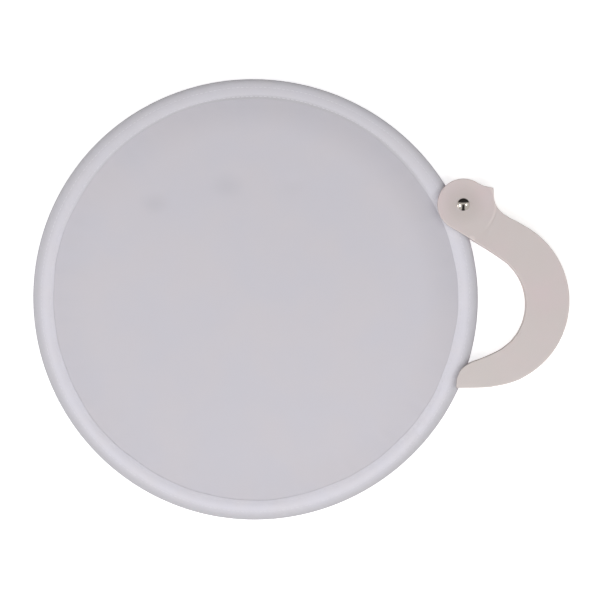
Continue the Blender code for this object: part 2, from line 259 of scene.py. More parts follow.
def add_object(name, mesh, location, material, body):
    """A finished piece: smooth shading, its place, its material and its body."""
    mesh.shade_smooth()
    mesh.set_sharp_from_angle(angle=radians(42))
    piece = new_object(name, mesh)
    piece.location = location
    mesh.materials.append(material)
    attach(piece, body)
    return piece


def mesh_from(name, points, faces):
    mesh = bpy.data.meshes.new(name)
    mesh.from_pydata(np.asarray(points).tolist(), [], faces)
    mesh.update()
    return mesh


def grid_faces(rows, columns, wrap_rows=False, wrap_columns=False):
    """Quads between the neighbouring points of a grid that is stored row by row."""
    faces = []
    for i in range(rows if wrap_rows else rows - 1):
        for j in range(columns if wrap_columns else columns - 1):
            k = (i + 1) % rows
            m = (j + 1) % columns
            faces.append((i * columns + j, i * columns + m, k * columns + m, k * columns + j))
    return faces


def outwards(mesh):
    """Turns every face of a closed mesh to the outside."""
    edit = bmesh.new()
    edit.from_mesh(mesh)
    bmesh.ops.recalc_face_normals(edit, faces=edit.faces)
    edit.to_mesh(mesh)
    edit.free()


def lathe_mesh(name, profile, sides=96):
    """A closed solid turned about Z. Its profile is (radius, height) points, the end ones on the axis."""
    ring = [(cos(TURN * i / sides), sin(TURN * i / sides)) for i in range(sides)]
    points = [(0.0, 0.0, profile[0].y)]
    for place in profile[1:-1]:
        points += [(place.x * x, place.x * y, place.y) for x, y in ring]
    points.append((0.0, 0.0, profile[-1].y))
    last = len(points) - 1
    grid = grid_faces(len(profile) - 2, sides, wrap_columns=True)
    faces = [tuple(corner + 1 for corner in face) for face in grid]
    for i in range(sides):
        k = (i + 1) % sides
        faces.append((0, k + 1, i + 1))
        faces.append((last, last - sides + i, last - sides + k))
    mesh = mesh_from(name, points, faces)
    outwards(mesh)
    return mesh


def repeated(points, faces, placed):
    """One mesh's points and faces, copied once for each function in placed that moves the points."""
    all_points = []
    all_faces = []
    for place in placed:
        start = len(all_points) * len(points)
        all_points.append(place(points))
        all_faces += [tuple(start + corner for corner in face) for face in faces]
    return np.concatenate(all_points), all_faces


# Materials


class Shader:
    """A Principled material, with short calls for its pattern nodes."""

    def __init__(self, name):
        self.material = bpy.data.materials.new(name)
        self.material.use_nodes = True
        self.tree = self.material.node_tree
        self.surface = self.tree.nodes["Principled BSDF"]
        self.place = self.node("ShaderNodeTexCoord").outputs["Object"]

    def node(self, kind, settings=None, **inputs):
        made = self.tree.nodes.new(kind)
        for key, value in (settings or {}).items():
            setattr(made, key, value)
        for key, value in inputs.items():
            self.feed(made.inputs[key.replace("_", " ")], value)
        return made

    def feed(self, socket, value):
        if isinstance(value, bpy.types.NodeSocket):
            self.tree.links.new(value, socket)
        else:
            socket.default_value = value

    def varied(self, **sources):
        """Values that a pattern node sets."""
        for key, source in sources.items():
            self.feed(self.surface.inputs[key.replace("_", " ")], source)

    def fixed(self, **values):
        """Values that are the same all over the surface."""
        for key, value in values.items():
            self.surface.inputs[key.replace("_", " ")].default_value = value

    def math(self, operation, first, second=0.0, third=0.0):
        made = self.node("ShaderNodeMath", {"operation": operation})
        for socket, value in zip(made.inputs, (first, second, third)):
            self.feed(socket, value)
        return made.outputs[0]

    def split(self, vector=None):
        """The X, Y and Z of a vector, or of the surface's own place."""
        where = self.place if vector is None else vector
        return self.node("ShaderNodeSeparateXYZ", Vector=where).outputs

    def scaled(self, vector, factors):
        made = self.node("ShaderNodeVectorMath", {"operation": "MULTIPLY"})
        self.feed(made.inputs[0], vector)
        made.inputs[1].default_value = factors
        return made.outputs[0]

    def along(self, direction):
        """How far the surface is along a direction from the piece's origin."""
        made = self.node("ShaderNodeVectorMath", {"operation": "DOT_PRODUCT"})
        self.feed(made.inputs[0], self.place)
        made.inputs[1].default_value = direction
        return made.outputs["Value"]

    def distance(self, point=(0.0, 0.0, 0.0), vector=None):
        """How far the surface is from a point of the piece's own space."""
        made = self.node("ShaderNodeVectorMath", {"operation": "DISTANCE"})
        self.feed(made.inputs[0], self.place if vector is None else vector)
        made.inputs[1].default_value = point
        return made.outputs["Value"]

    def noise(self, size, detail=3.0, vector=None, roughness=0.5):
        """Soft random values from 0 to 1 whose blotches are about size metres across."""
        where = self.place if vector is None else vector
        made = self.node("ShaderNodeTexNoise", Vector=where, Scale=1 / size, Detail=detail)
        made.inputs["Roughness"].default_value = roughness
        return made.outputs["Fac"]

    def bands(self, direction, pitch, vector=None):
        """Rounded ridges across one axis, from 0 to 1, one for each pitch."""
        where = self.place if vector is None else vector
        settings = {"wave_type": "BANDS", "bands_direction": direction, "wave_profile": "SIN"}
        made = self.node("ShaderNodeTexWave", settings, Vector=where, Scale=pi / (10 * pitch))
        return made.outputs["Fac"]

    def between(self, factor, low, high, from_low=0.0, from_high=1.0):
        made = self.node("ShaderNodeMapRange", {"interpolation_type": "SMOOTHSTEP"})
        for key, value in (("Value", factor), ("From Min", from_low), ("From Max", from_high)):
            self.feed(made.inputs[key], value)
        self.feed(made.inputs["To Min"], low)
        self.feed(made.inputs["To Max"], high)
        return made.outputs["Result"]

    def mixed(self, factor, first, second):
        made = self.node("ShaderNodeMix", {"data_type": "RGBA"})
        colours = [socket for socket in made.inputs if socket.type == "RGBA"]
        self.feed(made.inputs[0], factor)
        self.feed(colours[0], first)
        self.feed(colours[1], second)
        return next(socket for socket in made.outputs if socket.type == "RGBA")

    def tinted(self, base, tint, *factors):
        """The base colour with some of another mixed in, by the product of the factors."""
        share = factors[0]
        for factor in factors[1:]:
            share = self.math("MULTIPLY", share, factor)
        return self.mixed(share, base, tint)

    def bumps(self, *layers):
        """Stacks (height, strength, distance) layers and leads them to the surface's normal."""
        normal = None
        for height, strength, distance in layers:
            made = self.node("ShaderNodeBump", Height=height, Strength=strength, Distance=distance)
            if normal is not None:
                self.feed(made.inputs["Normal"], normal)
            normal = made.outputs["Normal"]
        self.varied(Normal=normal)

    def weave(self, pitch, vector=None):
        """A plain weave: threads along X and along Y that pass over each other in turn."""
        where = self.place if vector is None else vector
        board = self.node("ShaderNodeTexChecker", Vector=where, Scale=1 / pitch)
        board.inputs["Color1"].default_value = (1, 1, 1, 1)
        board.inputs["Color2"].default_value = (0, 0, 0, 1)
        along = self.bands("X", pitch, where)
        across = self.bands("Y", pitch, where)
        return self.mixed(board.outputs["Color"], along, across)

    def side_share(self, flat, steep):
        """From 0 where the surface lies flat to 1 where it stands up, as a moulded or folded edge does."""
        normal = self.node("ShaderNodeNewGeometry").outputs["Normal"]
        level = self.math("ABSOLUTE", self.split(normal)["Z"])
        return self.between(level, 1.0, 0.0, cos(radians(steep)), cos(radians(flat)))

    def round_place(self, around):
        """Coordinates that run round the disc: along its circumference, outwards and up."""
        split = self.split()
        angle = self.math("ARCTAN2", split["Y"], split["X"])
        squares = [self.math("POWER", split[axis], 2.0) for axis in ("X", "Y")]
        out = self.math("SQRT", self.math("ADD", *squares))
        along = self.math("MULTIPLY", angle, around)
        joined = self.node("ShaderNodeCombineXYZ", X=along, Y=out, Z=split["Z"])
        return joined.outputs[0]


def panel_cloth():
    """Thin taffeta: a fine weave, a faint sheen, painted shade in three hollows, and painted shade next to
    the tape where the light falls off.
    """
    shader = Shader("panel_cloth")
    weave = shader.weave(PANEL_WEAVE_PITCH)
    slub = shader.noise(1.0 * MM, 2.0, shader.scaled(shader.place, (0.12, 1.0, 1.0)))
    cloudy = shader.noise(38 * MM, 2.0)
    base = shader.mixed(shader.between(cloudy, 0.0, 1.0, 0.3, 0.7), PANEL_COOL, PANEL_WARM)
    threads = shader.between(slub, 0.5, 1.0, 0.3, 0.7)
    base = shader.tinted(base, PANEL_THREAD, weave, threads, 0.05)
    # Painted shade: a band next to the tape, on the side the sector faces
    near_tape_shade = shader.between(shader.distance(), 0.0, 1.0, DISC_RADIUS - 34 * MM, DISC_RADIUS - 12 * MM)
    aside = shader.along((cos(HEM_SHADE_ANGLE), sin(HEM_SHADE_ANGLE), 0.0))
    sector = shader.between(aside, 0.08, 0.40, 0.0, DISC_RADIUS - 20 * MM)
    base = shader.tinted(base, PANEL_SHADE, near_tape_shade, sector)
    # Painted shade in each hollow
    for x, y, size, depth in SHADED_HOLLOWS:
        squashed = shader.scaled(shader.place, (1.0, HOLLOW_SQUASH, 1.0))
        away = shader.distance((x * MM, HOLLOW_SQUASH * y * MM, 0.0), squashed)
        hollow_shade = shader.between(away, depth, 0.0, 0.0, size * MM)
        base = shader.tinted(base, PANEL_SHADE, hollow_shade)
    shader.varied(Base_Color=base, Roughness=shader.between(slub, 0.68, 0.8, 0.3, 0.7))
    shader.fixed(Specular_IOR_Level=0.3, Sheen_Weight=0.08, Sheen_Roughness=0.5)
    shader.bumps((weave, 0.5, 0.03 * MM), (slub, 0.4, 0.03 * MM), (cloudy, 0.3, 0.5 * MM))
    return shader.material


def tape_cloth():
    """Woven tape: a weave that follows the rim and a mottle, greyer where the photo's light falls off."""
    shader = Shader("binding_tape")
    ribs = round(TURN * DISC_RADIUS / TAPE_WEAVE_PITCH)
    round_place = shader.round_place(ribs * TAPE_WEAVE_PITCH / TURN)
    weave = shader.weave(TAPE_WEAVE_PITCH, round_place)
    fuzz = shader.noise(0.5 * MM, 3.0)
    mottle = shader.noise(16 * MM, 3.0)
    base = shader.mixed(shader.between(mottle, 0.0, 1.0, 0.3, 0.7), TAPE_COOL, TAPE_WARM)
    base = shader.tinted(base, TAPE_THREAD, weave, 0.06)
    out = shader.split(round_place)["Y"]
    # Painted shade on the outer roll towards the rim
    rim_shade = shader.between(out, 0.0, 1.0, DISC_RADIUS - 6.5 * MM, DISC_RADIUS - 0.4 * MM)
    edge = shader.side_share(24, 62)
    # Painted shade on the top side of the tape, strongest at its inner edge
    upper = shader.split()["Y"]
    top_shade = shader.between(upper, 0.0, 0.38, 0.0, 110 * MM)
    inner_edge_shade = shader.between(out, 2.6, 1.0, DISC_RADIUS - 11.3 * MM, DISC_RADIUS - 9.2 * MM)
    base = shader.tinted(base, TAPE_SHADE, top_shade, inner_edge_shade)
    # Painted shade on the outer roll is stronger towards the bottom, and darker still on its steep edge
    rubbing_and_shade = shader.between(upper, 0.95, 0.5, -110 * MM, 110 * MM)
    base = shader.tinted(base, TAPE_SHADE, rim_shade, rubbing_and_shade)
    base = shader.tinted(base, TAPE_EDGE_SHADE, edge, rim_shade, 0.8)
    shader.varied(Base_Color=base, Roughness=shader.between(fuzz, 0.7, 0.85, 0.3, 0.7))
    shader.fixed(Specular_IOR_Level=0.3, Sheen_Weight=0.1, Sheen_Roughness=0.5)
    shader.bumps((weave, 0.6, 0.05 * MM), (fuzz, 0.3, 0.04 * MM), (mottle, 0.25, 0.25 * MM))
    return shader.material


def thread_twist():
    """Sewing thread, with its twist showing as slanted ridges."""
    shader = Shader("sewing_thread")
    slant = shader.bands("DIAGONAL", 0.16 * MM)
    fuzz = shader.noise(0.3 * MM, 2.0)
    shader.varied(Base_Color=shader.mixed(fuzz, TAPE_COOL, TAPE_THREAD))
    shader.varied(Roughness=shader.between(fuzz, 0.55, 0.75, 0.3, 0.7))
    shader.fixed(Specular_IOR_Level=0.35, Sheen_Weight=0.1)
    shader.bumps((slant, 0.5, 0.03 * MM), (fuzz, 0.2, 0.02 * MM))
    return shader.material


def webbing():
    """Nylon webbing: a coarser weave than the tape's, a little uneven."""
    shader = Shader("tab_webbing")
    weave = shader.weave(WEBBING_PITCH)
    fuzz = shader.noise(0.4 * MM, 3.0)
    base = shader.mixed(weave, WEBBING_DARK, WEBBING_LIGHT)
    base = shader.tinted(base, WEBBING_DARK, fuzz, 0.3)
    shader.varied(Base_Color=base, Roughness=shader.between(fuzz, 0.65, 0.85, 0.3, 0.7))
    shader.fixed(Specular_IOR_Level=0.3, Sheen_Weight=0.15)
    shader.bumps((weave, 0.6, 0.08 * MM), (fuzz, 0.3, 0.04 * MM))
    return shader.material


def pivot_marks(shader, base, out):
    """Round the rivet: a duller head, rub marks in rings and a ring of painted contact shade. Returns the
    colour and the rubbing.
    """
    rings = shader.noise(0.5 * MM, 2.0, shader.node("ShaderNodeCombineXYZ", X=out).outputs[0])
    near = shader.between(out, 1.0, 0.0, 6 * MM, 15 * MM)
    rubbing_and_shade = shader.math("MULTIPLY", near, shader.between(rings, 0.0, 1.0, 0.5, 0.65))
    base = shader.tinted(base, PLASTIC_HEAD, near, 0.5)
    base = shader.tinted(base, PLASTIC_PALE, rubbing_and_shade, 0.12)
    # Painted contact shade in a patchy ring round the rivet
    contact_shade = shader.between(out, 0.85, 0.0, 3.3 * MM, 6.2 * MM)
    patchy = shader.between(shader.noise(5 * MM, 2.0), 0.55, 1.0, 0.35, 0.6)
    return shader.tinted(base, PLASTIC_SHADE, contact_shade, patchy), rubbing_and_shade


def step_highlights(shader, base, out, across):
    """A painted highlight in a band on the step at the outer side of the arm, and a painted highlight at its
    inner corner.
    """
    step = shader.math("ABSOLUTE", shader.math("SUBTRACT", out, RAMP_START + RAMP_WIDTH / 2))
    step = shader.between(step, 0.65, 0.0, 0.15 * MM, 1.1 * MM)
    sideways = shader.between(across, 0.0, 1.0, 11 * MM, 16 * MM)
    base = shader.tinted(base, PLASTIC_HIGHLIGHT, step, sideways)
    corner = [shader.distance((place.x, place.y, HALF)) for place in in_mm((3.7, -18.0), (6.3, -19.6))]
    corner_highlight = shader.between(shader.math("ADD", *corner), 0.75, 0.0, 3.1 * MM, 4.5 * MM)
    return shader.tinted(base, PLASTIC_HIGHLIGHT, corner_highlight)


def milky_plastic():
    """Natural polypropylene: milky, satin, faintly blotched, paler towards the lower tip as painted light,
    with painted shade on its sides, and at the head a duller tone, rub marks, a ring of painted contact
    shade and painted highlights on the step.
    """
    shader = Shader("handle_plastic")
    blotch = shader.noise(26 * MM, 2.0)
    satin = shader.noise(0.22 * MM, 2.0)
    flow = shader.noise(9 * MM, 2.0, shader.scaled(shader.place, (1.0, 0.35, 1.0)))
    base = shader.mixed(shader.between(blotch, 0.0, 1.0, 0.32, 0.68), PLASTIC_ROSY, PLASTIC_GREY)
    split = shader.split()
    # Painted light: paler towards the lower tip
    lower = shader.between(split["Y"], 1.0, 0.0, -98 * MM, -55 * MM)
    base = shader.tinted(base, PLASTIC_PALE, lower, 0.7)
    out = shader.distance()
    base, rubbing_and_shade = pivot_marks(shader, base, out)
    base = step_highlights(shader, base, out, split["X"])
    # Painted shade on the steep sides
    base = shader.tinted(base, PLASTIC_SHADE, shader.side_share(22, 70), 0.8)
    rough = shader.between(flow, 0.40, 0.5, 0.3, 0.7)
    rough = shader.math("SUBTRACT", rough, shader.math("MULTIPLY", rubbing_and_shade, 0.08))
    shader.varied(Base_Color=base, Roughness=rough)
    shader.fixed(IOR=1.49, Specular_IOR_Level=0.4, Subsurface_Weight=0.5, Subsurface_Scale=1.4 * MM)
    shader.fixed(Subsurface_Radius=(1.0, 0.92, 0.88))
    shader.bumps((satin, 0.25, 0.012 * MM), (flow, 0.3, 0.06 * MM), (rubbing_and_shade, 0.15, 0.01 * MM))
    return shader.material


def polished_metal(name, tint, dull, low, high, grain_size):
    """Plated or polished metal with hairline marks that vary its gloss, and duller spots."""
    shader = Shader(name)
    hair = shader.noise(grain_size, 2.0, shader.scaled(shader.place, (1.0, 0.08, 1.0)))
    spots = shader.noise(1.1 * MM, 2.0)
    base = shader.mixed(shader.between(spots, 0.0, 1.0, 0.55, 0.75), tint, dull)
    shader.varied(Base_Color=base, Roughness=shader.between(hair, low, high, 0.3, 0.7))
    shader.fixed(Metallic=1.0)
    shader.bumps((hair, 0.08, 0.006 * MM), (spots, 0.05, 0.02 * MM))
    return shader.material


# Disc


def out_of_round(angle):
    """How far the sprung rim bows in or out of its circle, in metres."""
    oval = 0.62 * np.cos(2 * (angle + radians(9.6)))
    lobed = 0.30 * np.cos(3 * (angle - radians(12.4)))
    return (oval + lobed) * MM


def placed_round(angle, radius, height):
    """Points round the disc, on the rim's own slightly uneven outline."""
    far = radius + out_of_round(angle) * radius / DISC_RADIUS
    return np.stack([far * np.cos(angle), far * np.sin(angle), height], axis=-1)


def waves(angle, *terms):
    """A sum of waves round the disc, each given as height, count and phase."""
    return sum(height * np.sin(count * angle + phase) for height, count, phase in terms)


def panel_height(angle, radius):
    """The stretched cloth: broad unevenness, three hollows, and short tension ripples next to the tape."""
    x = radius * np.cos(angle)
    y = radius * np.sin(angle)
    broad = 0.16 * np.sin(x / 31e-3 + 0.6) * np.cos(y / 27e-3 + 1.1) + 0.10 * np.sin((x + 1.7 * y) / 44e-3)
    hollows = 0.0
    for centre_x, centre_y, size, _ in SHADED_HOLLOWS:
        away = ((x / MM - centre_x) ** 2 + (HOLLOW_SQUASH * (y / MM - centre_y)) ** 2) / (0.55 * size) ** 2
        hollows = hollows - 0.32 * np.exp(-away)
    held = 1 - smoothstep(DISC_RADIUS - 24 * MM, DISC_RADIUS - 11.5 * MM, radius)
    near = smoothstep(DISC_RADIUS - 34 * MM, DISC_RADIUS - 12 * MM, radius)
    under = 1 - smoothstep(DISC_RADIUS - 11.5 * MM, DISC_RADIUS - 9 * MM, radius)
    ripples = waves(angle, (0.05, 46, 0.4), (0.035, 71, 2.2), (0.025, 97, 4.4)) * near * under
    return ((broad + hollows) * held + ripples) * MM


def thicken(piece, thickness, offset):
    """Gives a sheet its thickness, on both sides of the mesh at offset 0 and inwards at -1."""
    solid = piece.modifiers.new("cloth thickness", "SOLIDIFY")
    solid.thickness = thickness
    solid.offset = offset


def make_panel():
    rings, sides = 76, 360
    angle = np.linspace(0, TURN, sides, endpoint=False)[None, :].repeat(rings, 0)
    radius = np.linspace(0.6 * MM, PANEL_RADIUS, rings)[:, None].repeat(sides, 1)
    points = placed_round(angle, radius, panel_height(angle, radius)).reshape(-1, 3)
    middle = placed_round(np.zeros(1), np.zeros(1), panel_height(np.zeros(1), np.zeros(1)))
    faces = grid_faces(rings, sides, False, True)
    faces += [(len(points), (i + 1) % sides, i) for i in range(sides)]
    faces = [tuple(reversed(face)) for face in faces]
    mesh = mesh_from("panel_sheet", np.concatenate([points, middle]), faces)
    panel = add_object("panel_sheet", mesh, DISC_CENTRE, panel_cloth(), "disc")
    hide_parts("panel_fabric")
    thicken(panel, PANEL_THICKNESS, 0.0)
    return panel


def stitch_angle(row_radius):
    """The angle from one stitch to the next, so that a whole number of them goes round."""
    return TURN / round(TURN * row_radius / STITCH_PITCH)


def binding_profile():
    """The tape's outer face from its inner edge over the wire to the rim, as radius and height."""
    rim = DISC_RADIUS / MM
    corners = [(-11.2, 0.38), (-11.0, 0.48), (-10.3, 0.74), (-9.2, 1.11), (-8.0, 1.40), (-6.8, 1.56)]
    corners += [(-5.4, 1.62), (-4.2, 1.56), (-3.0, 1.47), (-2.1, 1.32), (-1.4, 1.08), (-0.7, 0.70)]
    corners += [(-0.2, 0.28), (0.0, 0.0)]
    return spline([Vector((rim + across, height)) * MM for across, height in corners], 2)


def binding_surface(angle, radius, height):
    """Moves points of the even profile to where the sewn tape lies. Height is above the mid-plane."""
    inner = DISC_RADIUS - BINDING_WIDTH
    loose = 1 - smoothstep(inner, inner + 5 * MM, radius)
    wander = waves(angle, (0.20, 7, 0.4), (0.15, 13, 2.1), (0.09, 31, 4.0)) * MM
    sewn = 0.0
    for row, depth in ((INNER_STITCH_RADIUS, 0.10), (OUTER_STITCH_RADIUS, 0.09)):
        beat = 0.7 + 0.3 * np.cos(TURN * angle / stitch_angle(row))
        sewn = sewn - depth * beat * np.exp(-(((radius - row) / (0.6 * MM)) ** 2))
    roll = smoothstep(DISC_RADIUS - 4.6 * MM, DISC_RADIUS - 3 * MM, radius)
    band = smoothstep(inner + 1 * MM, inner + 3 * MM, radius) * (1 - roll)
    across = (radius - DISC_RADIUS) / MM
    patches = 0.55 + 0.45 * waves(angle, (0.6, 3, 5.0), (0.4, 8, 1.0))
    puckers = waves(angle + 0.0020 * across, (0.030, 173, 0.3), (0.022, 229, 1.9), (0.018, 307, 4.1))
    creases = waves(angle - 0.0016 * across, (0.028, 61, 2.7), (0.022, 97, 0.8)) * band
    lift = (sewn + puckers * patches * (roll + 0.35 * band) + creases) * MM
    level = np.clip(np.abs(height) / (0.6 * MM), 0.0, 1.0)
    return radius + wander * loose, height + np.sign(height) * lift * level


def make_binding():
    half = binding_profile()
    section = half + [Vector((point.x, -point.y)) for point in reversed(half[:-1])]
    sides = 900
    rows = len(section)
    angle = np.linspace(0, TURN, sides, endpoint=False)[None, :].repeat(rows, 0)
    radius = np.array([point.x for point in section])[:, None].repeat(sides, 1)
    height = np.array([point.y for point in section])[:, None].repeat(sides, 1)
    radius, height = binding_surface(angle, radius, height)
    points = placed_round(angle, radius, height).reshape(-1, 3)
    faces = [tuple(reversed(face)) for face in grid_faces(rows, sides, False, True)]
    mesh = mesh_from("folded_binding", points, faces)
    binding = add_object("folded_binding", mesh, DISC_CENTRE, tape_cloth(), "disc")
    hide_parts("rim_binding")
    thicken(binding, TAPE_THICKNESS, -1.0)
    return binding


def capsule(sides=6, rings=7):
    """One stitch lying along X: a thread that rises out of the cloth and dives back in."""
    points = []
    for i in range(rings):
        t = 2 * i / (rings - 1) - 1
        radius = THREAD_RADIUS * (1 - 0.75 * t**6)
        lift = 0.05 * MM - 0.24 * MM * t**4
        for j in range(sides):
            turn = TURN * j / sides
            points.append((t * STITCH_LENGTH / 2, radius * cos(turn), lift + radius * sin(turn)))
    faces = grid_faces(rings, sides, False, True)
    faces.append(tuple(range(sides)))
    faces.append(tuple(reversed(range((rings - 1) * sides, rings * sides))))
    return np.array(points), faces


def surface_height(row_radius, angle):
    """The height of the binding's face under a row of stitches."""
    profile = binding_profile()
    level = np.interp(row_radius, [point.x for point in profile[4:]], [point.y for point in profile[4:]])
    return binding_surface(np.full(1, angle), np.full(1, row_radius), np.full(1, level))


def stitch_placer(row_radius, angle, side):
    radius, height = surface_height(row_radius, angle)

    def place(points):
        far = radius + points[:, 1]
        return placed_round(angle + points[:, 0] / row_radius, far, side * (height + points[:, 2]))

    return place


def make_edge_stitching(material):
    points, faces = capsule()
    placers = []
    for row in (INNER_STITCH_RADIUS, OUTER_STITCH_RADIUS):
        step = stitch_angle(row)
        for i in range(round(TURN / step)):
            placers += [stitch_placer(row, (i + 0.5) * step, 1), stitch_placer(row, i * step, -1)]
    mesh = mesh_from("edge_stitching", *repeated(points, faces, placers))
    outwards(mesh)
    return add_object("edge_stitching", mesh, DISC_CENTRE, material, "disc")


def turned_to_pivot(points):
    """Points measured outwards, across and up from the disc's centre, turned to face the pivot."""
    out, across, up = points.T
    x = out * cos(PIVOT_ANGLE) - across * sin(PIVOT_ANGLE)
    y = out * sin(PIVOT_ANGLE) + across * cos(PIVOT_ANGLE)
    return np.stack([x, y, up], axis=-1)


def tab_path():
    """The middle of the webbing's thickness, from a leg's end over the rim to the doubled end."""
    rim = DISC_RADIUS / MM
    corners = [(-9.0, 2.08), (-5.5, 2.08), (-2.4, 2.06), (-0.6, 1.72), (0.25, 1.05), (0.9, 0.50)]
    corners += [(1.9, 0.345), (3.9, 0.345)]
    return spline([Vector((rim + out, up)) * MM for out, up in corners], 5)


def make_tab():
    """Two plies of webbing, one in front of the rim and one behind it, with a round end on the rivet."""
    path = tab_path()
    columns = 23
    ribs = 9
    end_turns = 16
    points = []
    half_width = TAB_WIDTH / 2
    for place in path:
        for j in range(columns):
            t = 2 * j / (columns - 1) - 1
            rib = 0.035 * MM * cos(t * ribs * pi) - 0.06 * MM * t**8
            points.append((place.x, t * half_width, place.y + rib))
    rows = len(path)
    faces = grid_faces(rows, columns)
    reach = PIVOT_FROM_DISC.length
    level = path[-1].y
    for radius_share in (1.0, 0.75, 0.5, 0.25, 0.0):
        radius = TAB_HOLE_RADIUS + (TAB_END_RADIUS - TAB_HOLE_RADIUS) * radius_share
        for j in range(end_turns + 1):
            turn = -pi / 2 + pi * j / end_turns
            points.append((reach + radius * cos(turn), radius * sin(turn), level))
    first = rows * columns
    for a, b, c, d in grid_faces(5, end_turns + 1):
        faces.append((first + a, first + d, first + c, first + b))
    front = np.array(points)
    back = front * (1.0, 1.0, -1.0)
    count = len(front)
    both = np.concatenate([front, back])
    faces += [tuple(count + corner for corner in reversed(face)) for face in faces]
    mesh = mesh_from("webbing_tab", turned_to_pivot(both), faces)
    tab = add_object("webbing_tab", mesh, DISC_CENTRE, webbing(), "disc")
    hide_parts("pivot_tab")
    thicken(tab, TAB_THICKNESS - 0.02 * MM, 0.0)
    return tab


def make_tab_stitching(material):
    """Two bar tacks on each leg of the tab, across the webbing."""
    points, faces = capsule()
    sideways = points[:, [1, 0, 2]]
    placers = []
    count = 4
    for side in (1, -1):
        for row in (-7.6 * MM, -6.4 * MM):
            for j in range(count):
                across = (j - (count - 1) / 2) * STITCH_PITCH * 0.88

                def place(shape, row=row, across=across, side=side):
                    moved = shape + (DISC_RADIUS + row, across, 2.40 * MM)
                    return turned_to_pivot(moved * (1.0, 1.0, side))

                placers.append(place)
    mesh = mesh_from("tab_stitching", *repeated(sideways, faces, placers))
    outwards(mesh)
    return add_object("tab_stitching", mesh, DISC_CENTRE, material, "disc")


# Handle


def walled_edge():
    """The outline's outer edge, which the side wall follows, from near the lower tip to the beak."""
    lower = spline(in_mm((-0.6, -103.27), (9.6, -103.1), (16.2, -102.6), (25.7, -100.6), (31.5, -98.6)), 6)
    bow = arc(OUTER_ARC_CENTRE, OUTER_ARC_RADIUS, -60, 63, 104)
    beak = arc(BEAK_ARC_CENTRE, BEAK_ARC_RADIUS, 239, 183, 22)
    crest = spline([bow[-1]] + in_mm((29.8, -9.2), (26.6, -7.7)) + [beak[0]], 4)
    return lower + bow + crest[1:-1] + beak


def open_edge():
    """The rest of the outline, from the beak round the head and along the inner edge to the lower tip."""
    head = arc(Vector((0, 0)), HEAD_RADIUS, 63.8, 239.6, 72)
    top = spline(in_mm((14.7, 10.0), (10.9, 10.9)) + [head[0]], 4)
    inner_arc = arc(INNER_ARC_CENTRE, INNER_ARC_RADIUS, 45, -43, 60)
    upper = spline([head[-1]] + in_mm((3.5, -19.1), (17.5, -27.9), (25.5, -33.5)), 8)
    lower = in_mm((21.0, -81.7), (11.4, -86.2), (3.6, -89.2), (-1.4, -93.0), (-3.7, -97.8))
    return top + head[1:] + upper[1:] + inner_arc + spline([inner_arc[-1]] + lower, 6)[1:]


def handle_outline():
    """The whole outline, anticlockwise, and which of its points the side wall stands under."""
    wall = walled_edge()
    rest = open_edge()
    wall_end = BEAK_TIP + (rest[0] - BEAK_TIP).normalized() * WALL_THICKNESS
    beak = rounded_corner(wall[-1], BEAK_TIP, rest[0], CORNER)
    tip = rounded_corner(rest[-1], TIP, wall[0], CORNER)
    walled = wall + beak + [wall_end]
    points = walled + rest + tip
    return with_ramp_points(points, len(walled))


def ramp_width(angle):
    """The step is short on the arm's outer side and a long gentle slope at its inner edge."""
    return RAMP_WIDTH + RAMP_SPREAD * float(smoothstep(radians(-36), radians(-62), angle))


def with_ramp_points(points, walled_count):
    """Adds the points where the flat face's edge crosses the circles of the step round the head."""
    inner = offset_left(points, SUPPORT, closed=True)
    found = []
    walled = []
    for i, point in enumerate(points):
        found.append(point)
        walled.append(i < walled_count)
        after = (i + 1) % len(points)
        shares = []
        for level in RAMP_LEVELS:
            here = step_share(inner[i]) - level
            there = step_share(inner[after]) - level
            if here * there < 0:
                shares.append(here / (here - there))
        for share in sorted(shares):
            found.append(point.lerp(points[after], share))
            walled.append(i < walled_count - 1)
    return found, walled


def step_share(place):
    """How far a place has come over the step: below 0 on the head, above 1 on the arm."""
    angle = atan2(place.y, place.x)
    return -1.0 if angle > RAMP_LIMIT else (place.length - RAMP_START) / ramp_width(angle)


def face_height(share):
    """The height of the shell's face: the head lies a step lower than the arm."""
    return HALF - HEAD_RECESS * (1 - float(smoothstep(0.0, 1.0, share)))


